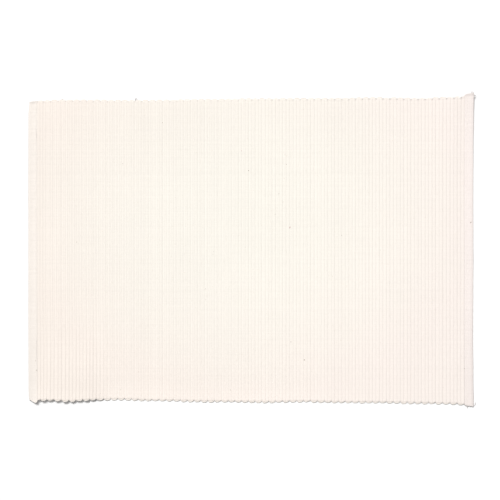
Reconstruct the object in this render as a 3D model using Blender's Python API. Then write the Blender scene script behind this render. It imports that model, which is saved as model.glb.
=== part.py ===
"""A ribbed cotton placemat lying on a table, made as one sheet of cloth.

The cloth is woven in ribs that run across the mat, along Y, and stand out on both faces. Its
short ends, at -X and +X, are flat headings, folded under twice as hems. Its long sides, at -Y
and +Y, are selvedges: the weft turns there from one rib into the next, so the edge is scalloped,
two ribs to a scallop. All but one of the mat's corners, the back left one, stand a little off the
table.

Frame: metres, +Z up. The origin is on the table, under the middle of the mat. The sheet is a
closed mesh of stations along X, each with an upper and a lower point, repeated on rows along Y.
"""

import math
import random
from typing import NamedTuple

import bmesh
import bpy

MM = 0.001

# Driving dimensions of the cloth.
MAT_LENGTH = 482.6 * MM
LEFT_HEM_WIDTH = 10.2 * MM
RIGHT_HEM_WIDTH = 10.0 * MM
RIB_COUNT = 123
CROWN_THICKNESS = 2.7 * MM
SHOULDER_THICKNESS = 2.55 * MM
VALLEY_THICKNESS = 1.3 * MM
SHOULDER_PLACE = 0.2

# The headings, and the two folds of each hem.
HEADING_THICKNESS = 0.7 * MM
LAYER_GAP = 0.3 * MM
HEM_FOLD_CLEARANCE = 0.8 * MM
HEM_SHOULDER = 1.2 * MM
RAW_EDGE_INSET = 0.6 * MM
FOLD_STEPS = 4

# The selvedges.
SELVEDGE_STRIP = 1.6 * MM
SELVEDGE_THINNING = 0.45
LOOP_REACH = 0.5 * MM
NOTCH_DEPTH = 1.35 * MM
LOOP_SHOULDER_DEPTH = 0.35 * MM

# Small unevenness of the weaving, each way.
UNEVEN_CROWN = 0.06 * MM
UNEVEN_VALLEY = 0.08 * MM
UNEVEN_NOTCH = 0.3 * MM
UNEVEN_LOOP = 0.12 * MM
WEAVING_SEED = 19

COTTON_COLOUR = (0.85, 0.79, 0.71, 1.0)
COTTON_ROUGHNESS = 0.9
SMOOTH_ANGLE = math.radians(40)


class Outline(NamedTuple):
    """Where the selvedges lie at one place along the mat, in millimetres."""

    x: float
    front: float
    back: float


OUTLINE = (
    Outline(x=-241.3, front=-162.4, back=160.3),
    Outline(x=-232.8, front=-165.7, back=161.0),
    Outline(x=-230.2, front=-162.8, back=161.2),
    Outline(x=-219.0, front=-162.8, back=161.9),
    Outline(x=-196.0, front=-163.9, back=162.4),
    Outline(x=-177.0, front=-162.6, back=162.2),
    Outline(x=-140.0, front=-162.2, back=161.9),
    Outline(x=-109.0, front=-163.2, back=162.0),
    Outline(x=-44.0, front=-164.4, back=163.1),
    Outline(x=21.0, front=-165.0, back=163.8),
    Outline(x=53.5, front=-164.4, back=164.0),
    Outline(x=102.5, front=-165.3, back=164.3),
    Outline(x=135.0, front=-165.4, back=164.9),
    Outline(x=184.0, front=-166.2, back=164.2),
    Outline(x=215.7, front=-166.9, back=165.2),
    Outline(x=227.5, front=-167.3, back=165.6),
    Outline(x=234.5, front=-169.0, back=168.6),
    Outline(x=241.3, front=-169.8, back=169.8),
)


class Pull(NamedTuple):
    """How far the hems are drawn in at one place across the mat, in millimetres."""

    y: float
    left: float
    right: float


PULLS = (
    Pull(y=-163.0, left=1.0, right=0.0),
    Pull(y=-145.0, left=0.4, right=0.2),
    Pull(y=-88.0, left=0.1, right=0.7),
    Pull(y=0.0, left=0.1, right=0.2),
    Pull(y=53.0, left=0.0, right=0.5),
    Pull(y=145.0, left=0.2, right=0.2),
    Pull(y=162.0, left=1.2, right=0.0),
)
PULL_REACH = 15.0 * MM


class Lift(NamedTuple):
    """A stretch of a selvedge that stands clear of the table, in millimetres.

    It rises from start to full_from, is highest to full_to and is down again at end. It falls
    away over reach, measured in from the selvedge.
    """

    side: str
    start: float
    full_from: float
    full_to: float
    end: float
    reach: float
    height: float


LIFTS = (
    Lift("front", start=-262.0, full_from=-212.0, full_to=-180.0, end=-150.0, reach=62.0, height=5.5),
    Lift("back", start=186.0, full_from=238.0, full_to=260.0, end=280.0, reach=118.0, height=4.6),
    Lift("front", start=204.0, full_from=238.0, full_to=260.0, end=280.0, reach=32.0, height=0.9),
    Lift("front", start=-243.0, full_from=-233.0, full_to=-229.0, end=-214.0, reach=24.0, height=2.2),
    Lift("back", start=222.0, full_from=240.0, full_to=260.0, end=280.0, reach=28.0, height=1.9),
)


class Drift(NamedTuple):
    """How far a rib's edge lies to the right of where even ribs would put it, in millimetres."""

    rib: float
    shift: float


DRIFTS = (
    Drift(rib=0.0, shift=0.0),
    Drift(rib=3.0, shift=-0.7),
    Drift(rib=10.0, shift=0.8),
    Drift(rib=17.0, shift=0.45),
    Drift(rib=24.0, shift=0.7),
    Drift(rib=31.0, shift=0.2),
    Drift(rib=40.0, shift=0.75),
    Drift(rib=52.0, shift=0.15),
    Drift(rib=68.0, shift=-1.35),
    Drift(rib=84.0, shift=-1.0),
    Drift(rib=100.0, shift=-1.7),
    Drift(rib=114.0, shift=-1.15),
    Drift(rib=121.0, shift=-0.1),
    Drift(rib=123.0, shift=0.0),
)

# Rows across the mat between the selvedge strips, closer where the sheet is lifted.
ROWS_BETWEEN = tuple(y * MM for y in (-154.0, -137.0, -108.0, -60.0, 0.0, 52.0, 95.0, 130.0, 152.0))

HALF_LENGTH = MAT_LENGTH / 2
FIELD_LEFT = -HALF_LENGTH + LEFT_HEM_WIDTH
FIELD_RIGHT = HALF_LENGTH - RIGHT_HEM_WIDTH
MIDDLE = CROWN_THICKNESS / 2
HALF_HEADING = HEADING_THICKNESS / 2
# Heights of the middles of a hem's three layers.
BOTTOM_LAYER = HALF_HEADING
TUCKED_LAYER = BOTTOM_LAYER + HEADING_THICKNESS + LAYER_GAP
FACE_LAYER = TUCKED_LAYER + HEADING_THICKNESS + LAYER_GAP


class Station(NamedTuple):
    """One upper and one lower point (x, z) of the sheet's section, and how its two ends differ.

    An inset is how far the end falls short of the outline, and thin is the share of the
    section's height that is left there.
    """

    upper: tuple
    lower: tuple
    middle_z: float = MIDDLE
    front_inset: float = 0.0
    back_inset: float = 0.0
    front_thin: float = SELVEDGE_THINNING
    back_thin: float = SELVEDGE_THINNING


def smooth_step(t):
    t = min(max(t, 0.0), 1.0)
    return t * t * (3.0 - 2.0 * t)


def read_table(table, key, value, at):
    """A column of a table in millimetres, read smoothly at a place in the key's unit, as metres."""
    place = min(max(at, getattr(table[0], key)), getattr(table[-1], key))
    for low, high in zip(table, table[1:]):
        if place <= getattr(high, key):
            break
    span = getattr(high, key) - getattr(low, key)
    share = smooth_step((place - getattr(low, key)) / span)
    return (getattr(low, value) * (1.0 - share) + getattr(high, value) * share) * MM


def lift_at(x, y):
    """Height of the sheet's underside over the table."""
    height = 0.0
    for lift in LIFTS:
        edge = read_table(OUTLINE, "x", lift.side, x / MM)
        rise = smooth_step((x / MM - lift.start) / (lift.full_from - lift.start))
        fall = smooth_step((lift.end - x / MM) / (lift.end - lift.full_to))
        inward = min(abs(edge - y) / (lift.reach * MM), 1.0)
        height += lift.height * MM * rise * fall * (1.0 - inward) ** 2
    return height


def pull_at(x, y):
    """Sideways shift of the sheet where its hems are drawn in."""
    from_left = max(1.0 - (x + HALF_LENGTH) / PULL_REACH, 0.0)
    from_right = max(1.0 - (HALF_LENGTH - x) / PULL_REACH, 0.0)
    left = from_left * read_table(PULLS, "y", "left", y / MM)
    right = from_right * read_table(PULLS, "y", "right", y / MM)
    return left - right


def rib_place(ribs):
    """X at a number of ribs from the left hem."""
    even = FIELD_LEFT + (FIELD_RIGHT - FIELD_LEFT) * ribs / RIB_COUNT
    return even + read_table(DRIFTS, "rib", "shift", ribs)


def open_at_front(valley):
    """Whether a valley is a notch at the front selvedge, and not at the back one."""
    return (RIB_COUNT - valley) % 2 == 0


def valley_station(ribs, uneven):
    """A valley, which is a notch between two loops at one selvedge and inside a loop at the other."""
    x = rib_place(ribs)
    half = VALLEY_THICKNESS / 2 + uneven.uniform(-UNEVEN_VALLEY, UNEVEN_VALLEY)
    notch = NOTCH_DEPTH - LOOP_REACH + uneven.uniform(-UNEVEN_NOTCH, UNEVEN_NOTCH)
    open_end = (notch, SELVEDGE_THINNING)
    loop_end = (-LOOP_REACH, SELVEDGE_THINNING * MIDDLE / half)
    (front_inset, front_thin), (back_inset, back_thin) = (
        (open_end, loop_end) if open_at_front(ribs) else (loop_end, open_end)
    )
    return Station(
        (x, MIDDLE + half), (x, MIDDLE - half), MIDDLE, front_inset, back_inset, front_thin, back_thin
    )


def raised_station(ribs, thickness, front_inset, back_inset):
    x = rib_place(ribs)
    return Station((x, thickness), (x, 0.0), MIDDLE, front_inset, back_inset)


def rib_stations():
    """Stations of the ribbed field: each rib's left valley, shoulder, crown and shoulder."""
    uneven = random.Random(WEAVING_SEED)
    stations = []
    for rib in range(RIB_COUNT):
        crown = CROWN_THICKNESS + uneven.uniform(-UNEVEN_CROWN, UNEVEN_CROWN)
        front_loop = uneven.uniform(0.0, UNEVEN_LOOP) - LOOP_REACH
        back_loop = uneven.uniform(0.0, UNEVEN_LOOP) - LOOP_REACH
        # The shoulder beside an open valley stands back a little, so the loops have round ends.
        open_left = (LOOP_SHOULDER_DEPTH, 0.0)
        open_right = (0.0, LOOP_SHOULDER_DEPTH)
        left_front, left_back = open_left if open_at_front(rib) else open_right
        left = rib + SHOULDER_PLACE
        right = rib + 1.0 - SHOULDER_PLACE
        stations += [
            valley_station(rib, uneven),
            raised_station(left, SHOULDER_THICKNESS, front_loop + left_front, back_loop + left_back),
            raised_station(rib + 0.5, crown, front_loop, back_loop),
            raised_station(right, SHOULDER_THICKNESS, front_loop + left_back, back_loop + left_front),
        ]
    stations.append(valley_station(RIB_COUNT, uneven))
    return stations


def hem_station(side, x, z, slope):
    """A station of a hem's cloth, on its centreline, whose normal leans by slope from +Z."""
    out_x = math.sin(slope) * HALF_HEADING
    out_z = math.cos(slope) * HALF_HEADING
    return Station((side * (x + out_x), z + out_z), (side * (x - out_x), z - out_z), z)


def hem_stations(side, field_edge):
    """Stations from the ribs out to a hem's outer fold, back under, and out again to its raw edge.

    Distances are worked out for the right hem, and side is -1 for the left one.
    """
    outer_radius = (FACE_LAYER - BOTTOM_LAYER) / 2
    inner_radius = (TUCKED_LAYER - BOTTOM_LAYER) / 2
    outer_fold = HALF_LENGTH - outer_radius - HALF_HEADING
    inner_fold = field_edge + HEM_FOLD_CLEARANCE + inner_radius + HALF_HEADING
    stations = [hem_station(side, field_edge + HEM_SHOULDER, FACE_LAYER, 0.0)]
    for step in range(FOLD_STEPS + 1):
        turn = math.pi * step / FOLD_STEPS
        x = outer_fold + outer_radius * math.sin(turn)
        z = BOTTOM_LAYER + outer_radius + outer_radius * math.cos(turn)
        stations.append(hem_station(side, x, z, turn))
    for step in range(FOLD_STEPS + 1):
        turn = math.pi * (1.0 - step / FOLD_STEPS)
        x = inner_fold - inner_radius * math.sin(turn)
        z = BOTTOM_LAYER + inner_radius + inner_radius * math.cos(turn)
        stations.append(hem_station(side, x, z, math.pi * (1.0 + step / FOLD_STEPS)))
    stations.append(hem_station(side, outer_fold - RAW_EDGE_INSET, TUCKED_LAYER, 2.0 * math.pi))
    return stations


def sheet_stations():
    left_hem = hem_stations(-1.0, -FIELD_LEFT)
    right_hem = hem_stations(1.0, FIELD_RIGHT)
    return left_hem[::-1] + rib_stations() + right_hem


def sheet_point(x, z, y):
    return x + pull_at(x, y), y, z + lift_at(x, y)


def column(bm, station, point):
    """One line of vertices across the mat, from the front selvedge to the back one."""
    x, z = point
    middle_x = (station.upper[0] + station.lower[0]) / 2
    middle_z = station.middle_z
    front = read_table(OUTLINE, "x", "front", middle_x / MM)
    back = read_table(OUTLINE, "x", "back", middle_x / MM)
    places = [(front + station.front_inset, middle_z + (z - middle_z) * station.front_thin)]
    places += [(y, z) for y in (front + SELVEDGE_STRIP, *ROWS_BETWEEN, back - SELVEDGE_STRIP)]
    places += [(back - station.back_inset, middle_z + (z - middle_z) * station.back_thin)]
    return [bm.verts.new(sheet_point(x, height, y)) for y, height in places]


def join_lines(bm, one, other):
    """Faces between two lines of vertices, in their order along the lines."""
    for start in range(len(one) - 1):
        bm.faces.new((one[start], other[start], other[start + 1], one[start + 1]))


def build_sheet(bm, stations):
    """The closed skin of the sheet: its two faces, its selvedges and its two raw edges."""
    uppers = [column(bm, station, station.upper) for station in stations]
    lowers = [column(bm, station, station.lower) for station in stations]
    for face in (uppers, lowers):
        for left, right in zip(face, face[1:]):
            join_lines(bm, left, right)
    for selvedge in (0, -1):
        join_lines(bm, [line[selvedge] for line in uppers], [line[selvedge] for line in lowers])
    for raw_edge in (0, -1):
        join_lines(bm, uppers[raw_edge], lowers[raw_edge])
    bmesh.ops.recalc_face_normals(bm, faces=bm.faces)


def cotton_material():
    material = bpy.data.materials.new("cotton")
    material.use_nodes = True
    shader = material.node_tree.nodes["Principled BSDF"]
    shader.inputs["Base Color"].default_value = COTTON_COLOUR
    shader.inputs["Roughness"].default_value = COTTON_ROUGHNESS
    shader.inputs["Metallic"].default_value = 0.0
    return material


def add_mat():
    bm = bmesh.new()
    build_sheet(bm, sheet_stations())
    mesh = bpy.data.meshes.new("mat")
    bm.to_mesh(mesh)
    bm.free()
    mesh.shade_smooth()
    mesh.set_sharp_from_angle(angle=SMOOTH_ANGLE)
    mesh.materials.append(cotton_material())
    mat = bpy.data.objects.new("mat", mesh)
    bpy.context.scene.collection.objects.link(mat)
    return mat


def clear_scene():
    for scene_object in list(bpy.data.objects):
        bpy.data.objects.remove(scene_object, do_unlink=True)


clear_scene()
add_mat()
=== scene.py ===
"""Looks of a ribbed cotton placemat that lies on a white table, seen from straight above.

The cloth repeats the part's layout: thick ribs across the mat, which stand out on both faces, a
heading at each short end, folded under twice and sewn, and selvedges along the long sides, where
the weft turns from one rib into the next in soft loops. Fine warp yarns run along the mat and
cover the weft. Lengths are in millimetres, and become metres where a mesh is made.
"""

import math
from typing import NamedTuple

import bpy
import numpy as np
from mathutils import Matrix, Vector


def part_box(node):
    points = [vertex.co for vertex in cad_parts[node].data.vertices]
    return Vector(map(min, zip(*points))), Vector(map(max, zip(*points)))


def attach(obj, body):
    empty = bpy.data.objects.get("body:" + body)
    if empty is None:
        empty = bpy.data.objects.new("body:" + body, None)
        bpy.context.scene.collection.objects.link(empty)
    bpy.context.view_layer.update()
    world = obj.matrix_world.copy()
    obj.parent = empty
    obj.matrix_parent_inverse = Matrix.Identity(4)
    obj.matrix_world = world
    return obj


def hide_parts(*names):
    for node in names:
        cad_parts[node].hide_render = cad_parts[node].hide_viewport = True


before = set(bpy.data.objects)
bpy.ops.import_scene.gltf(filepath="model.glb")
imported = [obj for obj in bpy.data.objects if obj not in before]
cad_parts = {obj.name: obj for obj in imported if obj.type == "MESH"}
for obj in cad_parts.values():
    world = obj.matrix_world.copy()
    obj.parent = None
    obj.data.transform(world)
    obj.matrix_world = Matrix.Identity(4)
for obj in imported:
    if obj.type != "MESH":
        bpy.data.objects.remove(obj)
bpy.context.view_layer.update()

MM = 0.001

# The part's driving dimensions.
HALF_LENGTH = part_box("mat")[1].x / MM
LEFT_HEM_WIDTH = 10.2
RIGHT_HEM_WIDTH = 10.0
RIB_COUNT = 123
HALF_WIDTH = 165.0
CROWN_THICKNESS = 2.7
VALLEY_THICKNESS = 1.3
HEADING_THICKNESS = 0.7
LAYER_GAP = 0.3
HEM_FOLD_CLEARANCE = 0.8
RAW_EDGE_INSET = 0.6
PULL_REACH = 15.0

# A rib's section: how square its crown is, and the places across it that the mesh has.
CROWN_SQUARENESS = 2.3
RIB_PHASES = (0.0, 0.06, 0.25, 0.5, 0.75, 0.94)

# Unevenness of the weaving, each way, and the lengths over which it comes and goes.
UNEVEN_SEED = 19
UNEVEN_LENGTHS = (37.0, 61.0, 113.0)
LENGTH_SPREAD = (0.7, 1.3)
VALLEY_SHIFT = 0.08
VALLEY_WANDER = 0.12
CROWN_UNEVEN = 0.05
VALLEY_UNEVEN = 0.35
VALLEY_WAVER = 0.15

# How deep the valleys are, as shares, and where the near left is parted more clearly.
LEAST_RELIEF = 0.22
RELIEF_RISE = 0.22
NEAR_LEFT_PARTING = 0.95
NEAR_LEFT_X = -140.0
NEAR_LEFT_X_REACH = 28.0
NEAR_LEFT_Y = -40.0
NEAR_LEFT_Y_REACH = 95.0

# The selvedges: where the warp ends, and the weft's loops past it.
BODY_INSET = 0.45
LONE_RIB_INSET = 0.1
NOTCH_DEPTH = 0.4
NOTCH_SQUARENESS = 2.2
BODY_ROUNDING = 1.3
BODY_END_SHARE = 0.5
SELVEDGE_REACH = 2.8
NOTCH_DEEPENING = 0.45
PAIR_FILL = 0.85
PAIR_LEAN = 0.22
LOOP_FLATNESS = 0.5
LOOP_SQUARENESS = 2.6
LOOP_LEGS = (2.6, 1.3)
LOOP_UNEVEN = 0.3
LOOP_STEPS = 12
LOOP_SEED = 7

# The weft's two yarns in each rib: their places across it, and their section, which is squarish,
# with a lobe for each ply.
YARN_OFFSETS = (-0.8, 0.8)
YARN_HALF_WIDTH = 0.66
YARN_HALF_HEIGHT = 0.8
YARN_SQUARENESS = 2.3
YARN_TAPER = (0.45, 0.75, 0.93)
YARN_UNEVEN = 0.07
SKEW_UNEVEN = 1.0 / 3.0
YARN_SIDES = 15
PLIES = 5
PLY_RELIEF = 0.05
PLY_TURN = 0.55
TUBE_SIDES = 6

# The mesh's lines along the mat: their distances in from the warp's end, and the number of spans
# between those.
END_ROWS = (0.0, 0.12, 0.4, 0.85, 1.4, 2.4, 4.0, 6.5)
INNER_SPANS = 46

# The hems: their stations, how far each flat layer ends from the folds beside it, and how far
# they pucker and waver.
OUTER_FOLD_STEPS = 8
INNER_FOLD_STEPS = 6
LAYER_STEP = 1.9
LEAST_STEP = 0.4
FACE_START = 1.2
FACE_MARGIN = 0.5
BOTTOM_MARGINS = (0.8, 0.15)
TUCKED_MARGIN = 0.5
HEM_PUCKER = 0.09
HEM_WAVER = 0.14

# The seams: their grooves and their stitches.
GROOVE_HALF_WIDTH = 0.75
UNDER_GROOVE = 0.2
STITCH_PITCH = 3.0
STITCH_LENGTH = 2.55
STITCH_RADIUS = 0.21
STITCH_TAPER = 0.35
STITCH_STEPS = 5
STITCH_MARGIN = 2.5
STITCH_RISE = 0.04
STITCH_DIP = 0.3

# The fine weave: the warp's pitch on each face, and the pitch of the headings' thin weft.
WARP_PITCH = 0.9
HEADING_PICK = 1.2

# How much darker or paler the light and the lie of the cloth make it, as shares, and where that
# starts and how far it reaches, in millimetres.
CORNER_SHADE = 0.026
CORNER_SHADE_Y = 60.0
CORNER_SHADE_REACH = 260.0
LIFTED_SHADE = 0.085
LIFTED_DARKEST = 0.054
FOLD_SHADE = 0.055
FOLD_SHADE_START = 237.9
FOLD_SHADE_BLUR = 1.0
NEAR_LIGHT = 0.036
NEAR_LIGHT_REACH = 20.0
NEAR_LIGHT_X = 10.0
NEAR_LIGHT_X_REACH = 170.0
FAR_LIGHT = 0.012
FAR_LIGHT_REACH = 12.0
CREASE_SHADE_BLUR = 1.2
CREASE_SHADE_BETWEEN = 0.4
CREASE_SHADE_IN_NOTCH = 4.2
CREASE_SHADE_SHARPNESS = 3

# The husks' radii, from end to end, and the steepest slope of the face that they lie on. The
# loose ends' steps from point to point, and how thin they end.
HUSK_RADII = (0.07, 0.24, 0.29, 0.2, 0.06)
FACE_SLOPE = 0.5
THREAD_STEPS = 5
THREAD_TAPER = 0.55

# The bake's sheet: the space round each face of the cloth, and the width of its edges' strips.
BAKE_MARGIN = 0.012
BAKE_EDGE = 0.004

# The noises' scales, for each metre, or for each rib and yarn where the weave's map is read, and
# the fuzz's detail.
FUZZ_SCALE = 2600.0
FUZZ_DETAIL = 3.0
CLOUD_SCALE = 11.0
SPECK_SCALE = 900.0
PUCKER_SCALE = (0.07, 0.3)
STREAK_SCALE = 0.11

# The relief of the weave: its full height, and the floats' section, twist and dives. Where the
# ribs aren't parted, floats dive as deep at a rib's middle as in a valley. Where they are, floats
# dive fully in the valleys and hardly at all at the middles.
WEAVE_RELIEF = 0.22
FLOAT_SQUARENESS = 2.6
FLOAT_TWISTS = 4.0
FLOAT_LEAN = 0.8
FLOAT_PLIES = 0.07
DIVE_HEIGHT = 0.45
DIVE_SHARPNESS = 7.0
EVEN_DIVE = 0.5
PARTED_MIDDLE = 0.03
WEAVE_FUZZ = 0.35
PUCKER_HEIGHT = 1.8

# The weave's tone, as shares: its chance, each way, and the painted shade in its gaps and dark
# lines.
YARN_TONE = 0.012
RIB_TONE = 0.009
STREAK_TONE = 0.03
CLOUD_TONE = 0.02
GAP_SHADE = 0.94
VALLEY_SHADE = 0.12
MIDDLE_SHADE = 0.46

# Colour of the cloth: its pale middle and its darker, warmer rim, a painted fall-off of light, and
# its specks.
PALE_X = -5.0
PALE_Y = 40.0
RIM_X = 245.0
RIM_Y = 200.0
RIM_WARMEST = 1.3
RIM_UNEVEN = (0.8, 1.2)
SPECK_LEVEL = 0.74
SPECK_SHARE = 0.3

# Yarns, husks and table: their relief, tone, the painted shade in the yarns' grooves, and gloss.
YARN_RELIEF = 0.05
YARN_FUZZ = 0.5
YARN_GROOVE_SHADE = 0.9
YARN_FUZZ_TONE = 0.04
COTTON_ROUGHNESS = (0.8, 0.98)
COTTON_SPECULAR = 0.25
SHEEN_ROUGHNESS = 0.55
WEAVE_SHEEN = 0.15
HUSK_RELIEF = 0.05
HUSK_TONE = (0.6, 1.4)
HUSK_ROUGHNESS = (0.6, 0.9)
TABLE_ROUGHNESS = 0.7

# Colours, as linear red, green, blue and alpha.
CREAM_MIDDLE = (0.831, 0.796, 0.726, 1.0)
CREAM_LEFT = (0.826, 0.753, 0.689, 1.0)
CREAM_RIGHT = (0.819, 0.749, 0.702, 1.0)
HEM_LEFT = (0.866, 0.802, 0.742, 1.0)
HEM_RIGHT = (0.843, 0.768, 0.733, 1.0)
# The weft's cream, darker than the cloth's: partly the yarn's own tone, partly painted shade along
# the selvedges.
WEFT_CREAM_SHADED = (0.73, 0.68, 0.625, 1.0)
THREAD_CREAM = (0.80, 0.75, 0.69, 1.0)
# The loose ends' cream, greyed by painted shade.
STRAY_CREAM_SHADED = (0.54, 0.50, 0.49, 1.0)
FLECK_TAN = (0.60, 0.47, 0.33, 1.0)
HUSK_BROWN = (0.23, 0.18, 0.13, 1.0)
HUSK_RED = (0.33, 0.11, 0.11, 1.0)
TABLE_WHITE = (0.76, 0.76, 0.76, 1.0)

# The table, the light and the camera. The camera sees as far as its clip end, in metres.
TABLE_SIZE = 40000.0
TABLE_GAP = 0.02
SUN_AZIMUTH = math.radians(24.0)
SUN_ELEVATION = math.radians(68.0)
SUN_ANGLE = math.radians(14.0)
SUN_STRENGTH = 3.185
SKY_STRENGTH = 0.45
CAMERA_LENS = 200.0
CAMERA_SENSOR = 36.0
CAMERA_CLIP_END = 100.0
FRAME_WIDTH = 541.5
CAMERA_X = -0.98
CAMERA_Y = -0.35

MIDDLE = CROWN_THICKNESS / 2
HALF_VALLEY = VALLEY_THICKNESS / 2
HALF_HEADING = HEADING_THICKNESS / 2
FIELD_LEFT = -HALF_LENGTH + LEFT_HEM_WIDTH
FIELD_RIGHT = HALF_LENGTH - RIGHT_HEM_WIDTH
BOTTOM_LAYER = HALF_HEADING
TUCKED_LAYER = BOTTOM_LAYER + HEADING_THICKNESS + LAYER_GAP
FACE_LAYER = TUCKED_LAYER + HEADING_THICKNESS + LAYER_GAP


class Outline(NamedTuple):
    """Where the selvedges lie at one place along the mat."""

    x: float
    front: float
    back: float


OUTLINE = (
    Outline(x=-241.3, front=-162.4, back=160.3),
    Outline(x=-232.8, front=-165.7, back=161.0),
    Outline(x=-230.2, front=-162.8, back=161.2),
    Outline(x=-219.0, front=-162.8, back=161.9),
    Outline(x=-196.0, front=-163.9, back=162.4),
    Outline(x=-177.0, front=-162.6, back=162.2),
    Outline(x=-140.0, front=-162.2, back=161.9),
    Outline(x=-109.0, front=-163.2, back=162.0),
    Outline(x=-44.0, front=-164.4, back=163.1),
    Outline(x=21.0, front=-165.0, back=163.8),
    Outline(x=53.5, front=-164.4, back=164.0),
    Outline(x=102.5, front=-165.3, back=164.3),
    Outline(x=135.0, front=-165.4, back=164.9),
    Outline(x=184.0, front=-166.2, back=164.2),
    Outline(x=215.7, front=-166.9, back=165.2),
    Outline(x=227.5, front=-167.3, back=165.6),
    Outline(x=234.5, front=-169.0, back=168.6),
    Outline(x=241.3, front=-169.8, back=169.8),
)


class Pull(NamedTuple):
    """How far the hems are drawn in at one place across the mat."""

    y: float
    left: float
    right: float


PULLS = (
    Pull(y=-163.0, left=1.0, right=0.0),
    Pull(y=-145.0, left=0.4, right=0.2),
    Pull(y=-88.0, left=0.1, right=0.7),
    Pull(y=0.0, left=0.1, right=0.2),
    Pull(y=53.0, left=0.0, right=0.5),
    Pull(y=145.0, left=0.2, right=0.2),
    Pull(y=162.0, left=1.2, right=0.0),
)


class Lift(NamedTuple):
    """A stretch of a selvedge that stands clear of the table.

    It rises from start to full_from, is highest to full_to and is down again at end. It falls
    away over reach, measured in from the selvedge.
    """

    side: str
    start: float
    full_from: float
    full_to: float
    end: float
    reach: float
    height: float


LIFTS = (
    Lift("front", -262.0, -212.0, -180.0, -150.0, reach=62.0, height=5.5),
    Lift("back", 186.0, 238.0, 260.0, 280.0, reach=118.0, height=4.6),
    Lift("front", 204.0, 238.0, 260.0, 280.0, reach=32.0, height=0.9),
    Lift("front", -243.0, -233.0, -229.0, -214.0, reach=24.0, height=2.2),
    Lift("back", 222.0, 240.0, 260.0, 280.0, reach=28.0, height=1.9),
)


class Drift(NamedTuple):
    """How far a rib's edge lies to the right of where even ribs would put it."""

    rib: float
    shift: float


DRIFTS = (
    Drift(rib=0.0, shift=0.0),
    Drift(rib=3.0, shift=-0.7),
    Drift(rib=10.0, shift=0.8),
    Drift(rib=17.0, shift=0.45),
    Drift(rib=24.0, shift=0.7),
    Drift(rib=31.0, shift=0.2),
    Drift(rib=40.0, shift=0.75),
    Drift(rib=52.0, shift=0.15),
    Drift(rib=68.0, shift=-1.35),
    Drift(rib=84.0, shift=-1.0),
    Drift(rib=100.0, shift=-1.7),
    Drift(rib=114.0, shift=-1.15),
    Drift(rib=121.0, shift=-0.1),
    Drift(rib=123.0, shift=0.0),
)


class Parting(NamedTuple):
    """How much deeper the valleys between ribs are than the lines along the ribs' middles."""

    x: float
    share: float


PARTINGS = (
    Parting(x=-232.0, share=0.22),
    Parting(x=-150.0, share=0.28),
    Parting(x=-95.0, share=0.48),
    Parting(x=-30.0, share=0.58),
    Parting(x=20.0, share=0.75),
    Parting(x=80.0, share=0.82),
    Parting(x=130.0, share=0.96),
    Parting(x=232.0, share=1.0),
)


class CreaseShade(NamedTuple):
    """How much painted shade the selvedges' creases get at one place along the mat, as shares."""

    x: float
    front: float
    back: float


CREASE_SHADES = (
    CreaseShade(x=-241.0, front=0.0, back=0.01),
    CreaseShade(x=-236.5, front=0.0, back=0.035),
    CreaseShade(x=-232.0, front=0.01, back=0.015),
    CreaseShade(x=-226.0, front=0.03, back=0.035),
    CreaseShade(x=-60.0, front=0.03, back=0.025),
    CreaseShade(x=60.0, front=0.03, back=0.04),
    CreaseShade(x=160.0, front=0.03, back=0.055),
    CreaseShade(x=228.0, front=0.03, back=0.06),
    CreaseShade(x=234.0, front=0.01, back=0.3),
    CreaseShade(x=241.0, front=0.0, back=0.3),
)


class HemShade(NamedTuple):
    """How much painted shade a hem's cloth, its outer fold and the valley beside it get, as shares;
    below 0 they are painted paler.
    """

    cloth: float
    fold: float
    valley: float


class Hem(NamedTuple):
    """One end of the mat: its side, where the ribs end, and how far out from there it is sewn.

    On the face the seam lies in a groove, as deep as given. The hem's shade changes from its far
    end to its near end.
    """

    side: float
    field_edge: float
    stitch_line: float
    groove: float
    far: HemShade
    near: HemShade


HEMS = (
    Hem(
        side=-1.0, field_edge=-FIELD_LEFT, stitch_line=1.9, groove=0.05,
        far=HemShade(cloth=0.0, fold=0.0, valley=-0.06),
        near=HemShade(cloth=0.04, fold=0.01, valley=0.14),
    ),
    Hem(
        side=1.0, field_edge=FIELD_RIGHT, stitch_line=3.0, groove=0.2,
        far=HemShade(cloth=-0.015, fold=0.02, valley=-0.14),
        near=HemShade(cloth=0.045, fold=0.075, valley=0.2),
    ),
)


class Selvedge(NamedTuple):
    """One long side of the mat.

    It has its side, its column in the outline and its notches' phase. Its loops reach a little
    past the outline, and are skewed, so that they hang out further at their left ends. The
    painted shade in its creases is as wide as given, and then fades.
    """

    side: float
    column: str
    phase: int
    reach: float
    skew: float
    crease_shade: float


SELVEDGES = (
    Selvedge(-1.0, "front", phase=0, reach=0.75, skew=0.4, crease_shade=1.0),
    Selvedge(1.0, "back", phase=1, reach=0.55, skew=0.0, crease_shade=2.0),
)


def smooth_step(t):
    t = np.clip(t, 0.0, 1.0)
    return t * t * (3.0 - 2.0 * t)


def arch(t, squareness):
    """A rounded arch over -1 to 1, 1 high, with steep feet."""
    return np.maximum(1.0 - np.abs(t) ** squareness, 0.0) ** (1.0 / squareness)


def squared(wave, squareness):
    """A sine or cosine of the points of an oval, for an oval that is more or less square."""
    return np.sign(wave) * np.abs(wave) ** (2.0 / squareness)


def read_table(table, key, value, places):
    """A column of a table, read smoothly at some places."""
    keys = np.array([getattr(row, key) for row in table])
    values = np.array([getattr(row, value) for row in table])
    low = np.clip(np.searchsorted(keys, places) - 1, 0, len(keys) - 2)
    share = smooth_step((places - keys[low]) / (keys[low + 1] - keys[low]))
    return values[low] * (1.0 - share) + values[low + 1] * share


def edge_at(column, x):
    """Y of a selvedge, by its column in the outline."""
    return read_table(OUTLINE, "x", column, x)


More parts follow.
